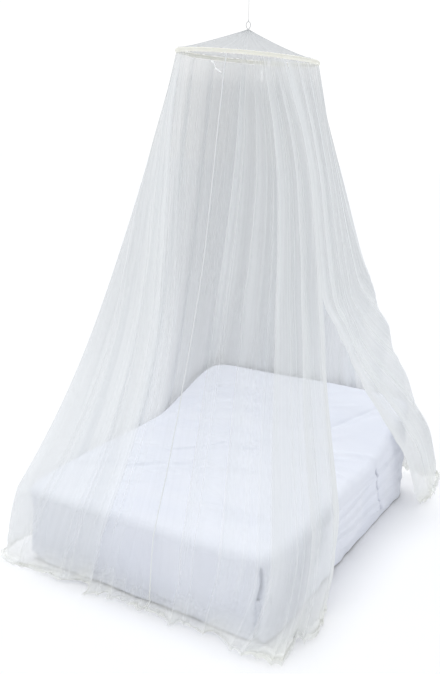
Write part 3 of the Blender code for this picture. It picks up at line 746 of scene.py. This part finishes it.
def make_panel(name, from_line, to_line, columns, flat_width, flat_length, flat_area):
    share = wall_rows()
    first, last = line_angle(from_line, share), line_angle(to_line, share)
    if to_line == "front_seam":
        last = last + 360.0
    part = np.linspace(0.0, 1.0, columns + 1)[:, None]
    if name == "net_foot":
        part = 0.55 * part + 0.45 * (1.0 - (1.0 - part) ** 0.45)
    moved = drifted(name, part, share[None, :])
    angle = first + (last - first) * moved
    hoop_angle = (first[0] + (last[0] - first[0]) * part)[:, 0]
    base = wall(angle, share[None, :])
    arc = np.concatenate([np.zeros((1, len(share))),
                          np.cumsum(np.linalg.norm(np.diff(base, axis=0), axis=2), axis=0)])
    out, side, gather = pleats(name, hoop_angle, arc, share)
    rad = np.radians(angle)
    outward = np.stack([np.cos(rad), np.sin(rad), np.zeros_like(rad)], -1)
    sideways = np.gradient(base, axis=0)
    sideways /= np.maximum(np.linalg.norm(sideways, axis=2), 1e-9)[..., None]
    growth = np.interp(share, (0.0, 1.0, 2.0), (FOLD_AT_HOOP, FOLD_AT_BED, FOLD_AT_FLOOR))
    main = fold_height(hoop_angle)[:, None] * growth[None, :]
    free = np.clip(share * (2.0 - share), 0.0, 1.0)[None, :]
    sway = 0.010 * waves(17, np.radians(angle) * 9.0, 1.0, 3.0, 5) * free
    lift, spread = hem_crumple(angle, share)
    spots = base + outward * (main + out + np.abs(sway) + spread)[..., None] + sideways * side[..., None]
    spots[..., 2] = np.maximum(spots[..., 2] + lift, FLOOR_SKIN)
    gather = gather + band_strength(hoop_angle)[:, None] * np.interp(share, *DOUBLE_BY_SHARE)[None, :]
    across = part * flat_width + UV_STARTS.get(name, UV_START_OTHERS)
    uv = joined(across, run_along(base[len(base) // 2])[None, :])
    grids = [(spots, uv, net_values(gather, edge_bands(name, arc), angle, hoop_angle, share))]
    if name == "net_near":
        grids.append(seam_band(spots[0], outward[0], share))
    panel = grid_object(name + "_cloth", grids, NET)
    panel.visible_shadow = False  # the photo's net hardly shades what is inside it
    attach(panel, "root")
    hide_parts(name)
    return panel


def hem_crumple(angle, share):
    """How the cloth that lies on the floor is heaped: its lift and its uneven reach."""
    rad = np.radians(angle)
    _, _, hem_spread, _ = footprint(turned(angle))
    lying = smooth_step((share - LYING_FROM) / 0.16)[None, :]
    ruffle = waves(5, rad * 46.0 + 2.0 * share[None, :], 0.6, 3.2, 7)
    ripple = waves(6, rad * 18.0 + 26.0 * share[None, :], 0.5, 2.4, 6)
    heap = np.clip(hem_spread / 0.04, 0.35, 1.8)
    lift = lying * heap * (0.010 + 0.022 * np.abs(ruffle) * (0.5 + 0.6 * np.abs(ripple)))
    lift = lift + 0.009 * lying * heap * np.sin(45.0 * share[None, :] + 3.0 * ruffle)
    spread = lying * heap * 0.012 * ruffle + 0.006 * smooth_step((share - 1.5) / 0.4)[None, :] * ripple
    return lift, spread


def edge_bands(name, arc):
    """The hems along the entrance's two free edges, as more gathered bands."""
    from_edge = np.full_like(arc, 9.0)
    if name == "net_near":
        from_edge = arc[-1][None, :] - arc
    if name == "net_right":
        from_edge = arc
    return 1.1 * hump(from_edge / 0.009) + 0.35 * hump(from_edge / 0.05)


SEAM_HALF_WIDTH = 0.0031


def seam_band(line, outward, share):
    """The front seam's allowance: a narrow strip that stands out along the seam, from hoop to hem."""
    side = np.cross(outward, (0.0, 0.0, 1.0))
    across = np.linspace(-1.0, 1.0, 7)
    wander = 0.0010 * waves(61, share * 30.0, 1.0, 4.0, 4)
    centre = line + side * wander[:, None]
    spots = (centre[None] + side[None] * (across * SEAM_HALF_WIDTH)[:, None, None]
             + outward[None] * (0.0022 + 0.0020 * (1.0 - across**2))[:, None, None])
    uv = joined((across * SEAM_HALF_WIDTH)[:, None], run_along(line)[None, :])
    one = np.ones((len(across), len(share)))
    ivory = 0.1 + 0.5 * smooth_step((share - 1.4) / 0.5)[None, :] * one
    # the seam strip is painted nearly white, as painted light
    return spots, uv, {"gather": 1.6 * one, "veil": 0.45 * one, "tone": 0.95 * one, "ivory": ivory}


for panel_row in PANELS:
    make_panel(*panel_row)


# -------- hoop, casing, net top

TOP_SEAMS = (-62.0, 18.0, 105.0, 200.0)
TOP_SEAM_WIDTH = 0.0022
TOP_VEIL = 0.58
TOP_SEED = 9
CASING_FROM, CASING_TO = 101.6, 458.4
STITCH_COUNT = 240
STITCH_HALF_LENGTH = 0.0040
STITCH_RADIUS = 0.00035


def make_net_top():
    """The shallow cone over the hoop, with small puckers where it is gathered at the tip and the rim."""
    count, rows = 420, 46
    degrees = np.arange(count) * 360.0 / count
    rad = np.radians(degrees)[:, None]
    part = np.linspace(0.0, 1.0, rows)[None, :]
    radius = TOP_HOLE + (HOOP_RADIUS - TOP_HOLE) * part
    fall = 1.0 - (1.0 - part) ** TOP_HOLLOW
    x, y = round_hoop(rad, radius)
    rim_z = hoop_height(*round_hoop(rad))
    z = TOP_APEX + (rim_z + TOP_LIFT - TOP_APEX) * fall
    near_tip = np.exp(-part / 0.12)
    near_rim = np.exp(-(1.0 - part) / 0.05)
    whole = np.arange(1, 9) * 11.0
    draw = np.random.default_rng(TOP_SEED)
    pucker = sum(np.sin(rad * k + draw.random() * 6.3) for k in whole) / 3.0
    broad = sum(np.sin(rad * k + draw.random() * 6.3) for k in (2.0, 3.0, 5.0, 7.0)) / 2.0
    z = z + 0.0012 * pucker * near_rim + 0.0010 * pucker * near_tip
    z = z + 0.0022 * broad * part * (1.0 - part) * 4.0
    z = z + 0.0006 * pucker
    seams = sum(hump(turned(np.degrees(rad) - seam) * radius * math.pi / 180.0 / TOP_SEAM_WIDTH)
                for seam in TOP_SEAMS)
    gather = 0.35 * near_tip + 0.3 * near_rim + 0.05 * np.abs(pucker) + 0.35 * seams
    around = np.radians(np.arange(count + 1) * 360.0 / count)[:, None]
    # painted light: the top is painted lighter where it is gathered at the tip, the rim and the seams
    tone = np.clip(0.10 + 0.4 * gather, 0.0, 1.0)
    values = {"gather": gather, "veil": TOP_VEIL, "tone": tone, "ivory": 0.1}
    top = grid_object("net_top_cloth", [(joined(x, y, z), joined(around * HOOP_RADIUS, radius), values)], NET,
                      closed=True)
    top.visible_shadow = False
    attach(top, "root")
    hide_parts("net_top")


def make_casing():
    """The cream casing over the hoop, puckered by its stitching, with a gap between its ends at the head."""
    count, sides = 1000, 22
    rad = np.radians(np.linspace(CASING_FROM, CASING_TO, count))[:, None]
    turn = np.linspace(0.0, 2.0 * math.pi, sides + 1)[None, :]
    pucker = waves(21, rad * 60.0, 1.0, 4.0, 8)
    slack = waves(22, rad * 9.0, 1.0, 4.0, 6)
    width = CASING_HALF_WIDTH + 0.0005 * pucker + 0.0003 * slack
    height = CASING_HALF_HEIGHT + 0.0008 * pucker * np.sin(turn) + 0.0006 * slack
    ridge = 1.0 + 0.05 * np.cos(turn * 2.0 + 40.0 * rad) * pucker
    out = width * np.cos(turn) * ridge
    up = height * np.sin(turn) * ridge
    spots = joined(*round_hoop(rad, HOOP_RADIUS + out), hoop_height(*round_hoop(rad)) + up)
    casing = grid_object("hoop_casing_cloth", [(spots, joined(rad * HOOP_RADIUS, turn * 0.009), {})], CASING)
    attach(casing, "root")
    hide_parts("hoop_casing")
    for name, drop in (("casing_stitch_low", -0.0088), ("casing_stitch_high", 0.0090)):
        make_stitches(name, drop)


def make_stitches(name, drop):
    """A row of short stitches round the outside of the casing."""
    grids = []
    for number in range(STITCH_COUNT):
        at = math.radians(102.5 + number * 355.0 / STITCH_COUNT)
        span = STITCH_HALF_LENGTH / HOOP_RADIUS
        spots = []
        for part in np.linspace(-1.0, 1.0, 5):
            turn = at + span * part
            radius = HOOP_RADIUS + 0.0050 + 0.0006 * (1.0 - part * part)
            x, y = HOOP_CENTRE[0] + radius * math.cos(turn), HOOP_CENTRE[1] + radius * math.sin(turn)
            spots.append((x, y, hoop_height(x, y) + drop))
        grids.append(tube(spots, STITCH_RADIUS, 5))
    stitches = grid_object(name, grids, RIBBON, closed=True)
    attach(stitches, "root")


make_net_top()
make_casing()


# -------- bed cover

# The hem's height round the bed. It is uneven, as in the photo, while the CAD model's is nearly level.
COVER_HEM = np.array((
    # angle, hem_height
    (-180.0, 0.022), (-150.0, 0.030), (-132.0, 0.020), (-127.0, 0.045), (-115.0, 0.055), (-101.6, 0.066),
    (-87.0, 0.070), (-68.7, 0.037), (-57.0, 0.008), (-50.0, 0.006), (-30.0, 0.014), (-15.2, 0.034),
    (-10.4, 0.078), (0.0, 0.090), (22.0, 0.092), (28.5, 0.086), (30.5, 0.060), (40.0, 0.040), (51.7, 0.008),
    (70.0, 0.020), (120.0, 0.030), (180.0, 0.022),
))
SLIT_TOP = 0.40
CREASE_SEED = 12
CREASE_COUNT = 64
SIDE_CREASES = (
    # height, slope, width, rise
    (0.155, -0.05, 0.012, 0.012), (0.215, 0.03, 0.014, 0.009), (0.290, 0.08, 0.013, 0.010),
    (0.345, -0.03, 0.012, 0.008),
)
CENTRE_RING = 0.0005
TOP_RINGS = 56
SIDE_RINGS = 34
HEM_TURN = (
    # inset, lift: round the hem's edge and up behind it
    (0.001, -0.0015), (0.003, -0.0015), (0.0045, 0.002), (0.005, 0.03),
)
CORNER_PLEATS = (-126.0, -54.0, 54.0, 126.0)
UNDER_SHEET_TOP = 0.20
UNDER_SHEET_INSET = 0.014


def cover_hem(angle):
    return flowing(COVER_HEM, 1, turned(np.degrees(angle))) + 0.004 * np.sin(13.0 * angle + 0.6)


def creases(x, y):
    """Soft creases over the cover's top: most run across the bed, a few slant."""
    draw = np.random.default_rng(CREASE_SEED)
    total = np.zeros_like(x)
    for _ in range(CREASE_COUNT):
        cx = draw.uniform(-0.5, 0.6)
        cy = draw.uniform(-0.75, 0.75)
        slant = draw.normal(0.38, 0.22)
        length = draw.uniform(0.12, 0.42)
        wide = draw.uniform(0.011, 0.026)
        tall = draw.uniform(0.0040, 0.0110) * (1.0 if draw.random() < 0.72 else -0.8)
        along = (x - cx) * math.cos(slant) + (y - cy) * math.sin(slant)
        off = (y - cy) * math.cos(slant) - (x - cx) * math.sin(slant) + 0.02 * np.sin(along * 9.0 + cx * 20.0)
        total += tall * hump(off / wide) * np.exp(-((along / length) ** 4))
    soft = 0.007 * np.sin(5.2 * x + 3.1 * y + 0.8) * np.sin(4.4 * y - 2.0 * x + 1.1)
    return total + soft


def slit_y(z):
    """Where the split in the cover's right side runs: it slants towards the head on its way down."""
    return 0.262 + (0.505 - z) * 0.435


def side_relief(angle, x, y, z):
    """How far the cover's sides stand in or out, and how much painted shade darkens the gaps at its corners
    and its split.
    """
    depth = np.clip((COVER_EDGE_TOP - z) / 0.30, 0.0, 1.0)
    folds = 0.0095 * waves(31, angle * 7.0 + 1.6 * z, 0.7, 3.0, 7)
    folds = folds + 0.004 * waves(32, angle * 22.0 + 9.0 * z, 0.7, 2.0, 5)
    relief = (folds - 0.006) * depth
    # gap is painted shade: it darkens the cover in its corner pleats and in its split.
    gap = np.zeros_like(z)
    for corner_x, corner_y in ((1, -1), (1, 1), (-1, 1), (-1, -1)):
        at = math.atan2(corner_y * BED_HALF_LENGTH, corner_x * (BED_HALF_WIDTH - 0.028))
        off = turned(np.degrees(angle - at)) / 57.3 * 1.2
        off = off + 0.018 * depth + 0.004 * np.sin(z * 40.0)
        pleat = hump(off / (0.008 + 0.006 * depth)) * smooth_step((depth - 0.02) / 0.25)
        relief = relief - 0.030 * pleat + 0.012 * hump((off - 0.032) / 0.02) * depth
        gap = np.maximum(gap, 0.38 * pleat**3)
    right = (x > 0.5) & (np.abs(y) < 0.9)
    off = y - slit_y(z) + 0.004 * np.sin(z * 60.0)
    open_wide = 0.0125 + 0.030 * np.clip((0.15 - z) / 0.08, 0.0, 1.0) ** 2
    slit = np.exp(-((off / open_wide) ** 4)) * smooth_step((SLIT_TOP - z) / 0.03)
    puff = 0.010 * hump((off + 0.035) / 0.03) * depth
    relief = relief + np.where(right, puff - 0.034 * slit, 0.0)
    gap = np.maximum(gap, np.where(right, slit * (0.88 + 0.12 * np.sin(z * 55.0)), 0.0))
    level = sum(tall * hump((z - at - slope * y) / wide) for at, slope, wide, tall in SIDE_CREASES)
    return relief + np.where(right, level, 0.0), gap


def cover_angles():
    """Angles round the cover, closer together at the split and at the corners' pleats."""
    even = np.linspace(-180.0, 180.0, 560, endpoint=False)
    split = np.linspace(17.5, 33.5, 170)
    corners = [np.linspace(corner - 3.0, corner + 3.0, 40) for corner in CORNER_PLEATS]
    return np.radians(np.unique(np.concatenate([even, split, *corners]).round(4)))


def make_cover():
    """The bed's cover: a soft top that rises over the pillows, round edges, draped sides, a turned hem."""
    angle = cover_angles()[:, None]
    count = len(angle)
    parts = np.concatenate([[CENTRE_RING], np.linspace(0.018, 1.0, TOP_RINGS)])
    grid, gap_shades = [], []
    flat_top = bed_radius(angle, BED_HALF_WIDTH - COVER_EDGE_ROUND, BED_HALF_LENGTH - COVER_EDGE_ROUND)
    for part in parts:
        reach = part * flat_top
        x, y = reach * np.cos(angle), reach * np.sin(angle)
        grid.append(np.concatenate([x, y, cover_top(x, y) + creases(x, y)], 1))
    for turn in np.radians((15.0, 30.0, 45.0, 60.0, 75.0, 88.0)):
        inset = COVER_EDGE_ROUND * (1.0 - math.sin(turn))
        drop = COVER_EDGE_ROUND * (1.0 - math.cos(turn))
        reach = bed_radius(angle, BED_HALF_WIDTH - inset, BED_HALF_LENGTH - inset)
        x, y = reach * np.cos(angle), reach * np.sin(angle)
        grid.append(np.concatenate([x, y, cover_top(x, y) + creases(x, y) * math.cos(turn) - drop], 1))
    edge_z = grid[-1][:, 2:3]
    for part in np.linspace(0.03, 1.0, SIDE_RINGS):
        z = edge_z + (cover_hem(angle) - edge_z) * part
        hollow = 0.004 * math.sin(math.pi * part)
        reach = bed_radius(angle, BED_HALF_WIDTH - hollow, BED_HALF_LENGTH - hollow)
        x, y = reach * np.cos(angle), reach * np.sin(angle)
        relief, gap = side_relief(angle, x, y, z)
        reach = reach + relief
        grid.append(np.concatenate([reach * np.cos(angle), reach * np.sin(angle), z], 1))
        gap_shades.append(gap[:, 0])
    last = grid[-1]
    for inset, lift in HEM_TURN:
        pulled = last.copy()
        length = np.linalg.norm(last[:, :2], axis=1)[:, None]
        pulled[:, :2] *= (length - inset) / length
        pulled[:, 2] += lift
        grid.append(pulled)
        gap_shades.append(gap_shades[-1])
    spots = np.stack(grid, 1)
    rows = spots.shape[1]
    gap = np.concatenate([np.zeros((count, rows - len(gap_shades))), np.stack(gap_shades, 1)], 1)
    uv = joined(np.linspace(0.0, 5.0, count + 1)[:, None], np.linspace(0.0, 1.6, rows)[None])
    cover = grid_object("bed_cover_cloth", [(spots, uv, {"gap": gap})], COVER, closed=True)
    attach(cover, "root")
    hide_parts("bed_cover")


def make_under_sheet():
    """The sheet under the cover, whose edge shows below the cover's hem."""
    count, rows = 700, 14
    angle = np.linspace(0.0, 2.0 * math.pi, count, endpoint=False)[:, None]
    down = np.linspace(0.0, 1.0, rows)[None, :]
    low = 0.008 + 0.003 * np.sin(4.0 * angle + 2.0) + 0.002 * np.sin(13.0 * angle)
    z = UNDER_SHEET_TOP + (low - UNDER_SHEET_TOP) * down
    reach = bed_radius(angle, BED_HALF_WIDTH - UNDER_SHEET_INSET, BED_HALF_LENGTH - UNDER_SHEET_INSET)
    reach = reach + 0.004 * waves(51, angle * 12.0, 0.6, 3.0, 6) * down - 0.004 * down
    spots = joined(reach * np.cos(angle), reach * np.sin(angle), z)
    uv = joined(np.linspace(0.0, 5.0, count + 1)[:, None], np.linspace(0.0, 0.2, rows)[None])
    sheet = grid_object("under_sheet", [(spots, uv, {})], COVER, closed=True)
    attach(sheet, "root")


make_cover()
make_under_sheet()


# -------- ribbons and plain parts

RIBBON_THICK = 0.0008
RIBBON_CURL = 0.0006
TIE = (
    # angle, share, stand_off
    (-87.0, 0.0180, 0.016), (-85.0, 0.0200, 0.022), (-83.6, 0.0250, 0.024), (-82.8, 0.0320, 0.022),
    (-80.8, 0.0360, 0.018), (-78.8, 0.0400, 0.013),
)
TIE_WIDTH = 0.005
TAB_ANGLE = 105.4
TAB_INSET = 0.014
TAB = (
    # drop below the hoop's line, width
    (0.0125, 0.0015), (0.0390, 0.0015), (0.0430, 0.0100), (0.0690, 0.0105), (0.0950, 0.0100),
)


def ribbon_object(name, path, widths, across, node):
    """A flat ribbon with a little curl, its surface following a smooth line through the points."""
    path = np.asarray(path, float)
    steps = np.linspace(0.0, len(path) - 1.0, 60)
    rows = np.column_stack([np.arange(len(path)), path, widths])
    line = np.stack([flowing(rows, k, steps) for k in (1, 2, 3)], -1)
    width = flowing(rows, 4, steps)
    along = np.gradient(line, axis=0)
    along /= np.linalg.norm(along, axis=1)[:, None]
    out = np.cross(along, across)
    out /= np.linalg.norm(out, axis=1)[:, None]
    side = np.linspace(-1.0, 1.0, 9)
    spots = (line[None] + across[None, None] * (side[:, None] * width[None] / 2.0)[..., None]
             + out[None] * (RIBBON_CURL * (1.0 - side[:, None] ** 2))[..., None])
    uv = joined(side[:, None] * width.mean() / 2.0, run_along(line)[None])
    made = grid_object(name, [(spots, uv, {})], RIBBON)
    thick = made.modifiers.new("thickness", "SOLIDIFY")
    thick.thickness = RIBBON_THICK
    thick.offset = 0.0
    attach(made, "root")
    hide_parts(node)


def make_ribbons():
    spine = []
    for degrees, share, stand_off in TIE:
        rad = math.radians(degrees)
        spine.append(wall(degrees, share) + np.array([math.cos(rad), math.sin(rad), 0.0]) * stand_off)
    upright = np.array([0.0, 0.0, 1.0])
    ribbon_object("tie_ribbon_cloth", spine, [TIE_WIDTH] * len(TIE), upright, "tie_ribbon")
    rad = math.radians(TAB_ANGLE)
    x = HOOP_CENTRE[0] + (HOOP_RADIUS - TAB_INSET) * math.cos(rad)
    y = HOOP_CENTRE[1] + (HOOP_RADIUS - TAB_INSET) * math.sin(rad)
    spine = [(x, y, hoop_height(x, y) - drop) for drop, _ in TAB]
    across = np.array([-math.sin(rad), math.cos(rad), 0.0])
    ribbon_object("hanging_tab_cloth", spine, [width for _, width in TAB], across, "hanging_tab")


def dress_plain_parts():
    """Materials for the CAD nodes that stay as they are."""
    finishes = {"hoop": HOOP, "hanging_eye": STEEL, "ceiling_hook": STEEL, "mattress": MATTRESS,
                "bed_base": BASE}
    for number in range(1, 5):
        finishes[f"bed_leg_{number}"] = LEG
    for name, finish in finishes.items():
        node = NODES[name]
        node.data.materials.clear()
        node.data.materials.append(finish)


make_ribbons()
dress_plain_parts()


# -------- floor and light

FLOOR_HALF_SIDE = 40.0
FLOOR_GLOW = 0.06
SKY_LIGHT = 0.72
SKY_COLOUR = (0.94, 0.97, 1.0, 1.0)
BACKDROP_LIGHT = 1.05
SUN_LIGHT = 1.15
SUN_ANGLE = math.radians(40.0)
SUN_WAY = Vector((0.32, -0.16, -1.0))


def make_floor():
    mesh = bpy.data.meshes.new("floor")
    far = FLOOR_HALF_SIDE
    corners = [(-far, -far, 0.0), (far, -far, 0.0), (far, far, 0.0), (-far, far, 0.0)]
    mesh.from_pydata(corners, [], [(0, 1, 2, 3)])
    floor = placed("floor", mesh)
    made = Finish("floor", 0.9, Specular_IOR_Level=0.0, Emission_Color=(0.95, 0.97, 1.0, 1.0),
                  Emission_Strength=FLOOR_GLOW)
    made.colour((0.93, 0.925, 0.935))
    mesh.materials.append(made.material)


def make_light():
    """A white studio: soft light from all round, a wide soft key from above, and a white backdrop."""
    world = bpy.data.worlds.new("studio")
    world.use_nodes = True
    tree = world.node_tree
    light = tree.nodes["Background"]
    light.inputs[0].default_value = SKY_COLOUR
    light.inputs[1].default_value = SKY_LIGHT
    backdrop = tree.nodes.new("ShaderNodeBackground")
    backdrop.inputs[0].default_value = (1.0, 1.0, 1.0, 1.0)
    backdrop.inputs[1].default_value = BACKDROP_LIGHT
    path = tree.nodes.new("ShaderNodeLightPath")
    both = tree.nodes.new("ShaderNodeMixShader")
    tree.links.new(path.outputs["Is Camera Ray"], both.inputs[0])
    tree.links.new(light.outputs[0], both.inputs[1])
    tree.links.new(backdrop.outputs[0], both.inputs[2])
    tree.links.new(both.outputs[0], tree.nodes["World Output"].inputs[0])
    bpy.context.scene.world = world

    sun = bpy.data.lights.new("key", "SUN")
    sun.energy = SUN_LIGHT
    sun.angle = SUN_ANGLE
    key = placed("key", sun)
    key.rotation_euler = SUN_WAY.to_track_quat("-Z", "Y").to_euler()


make_floor()
make_light()
bpy.context.scene.view_settings.view_transform = "Standard"
bpy.context.scene.cycles.transparent_max_bounces = 40
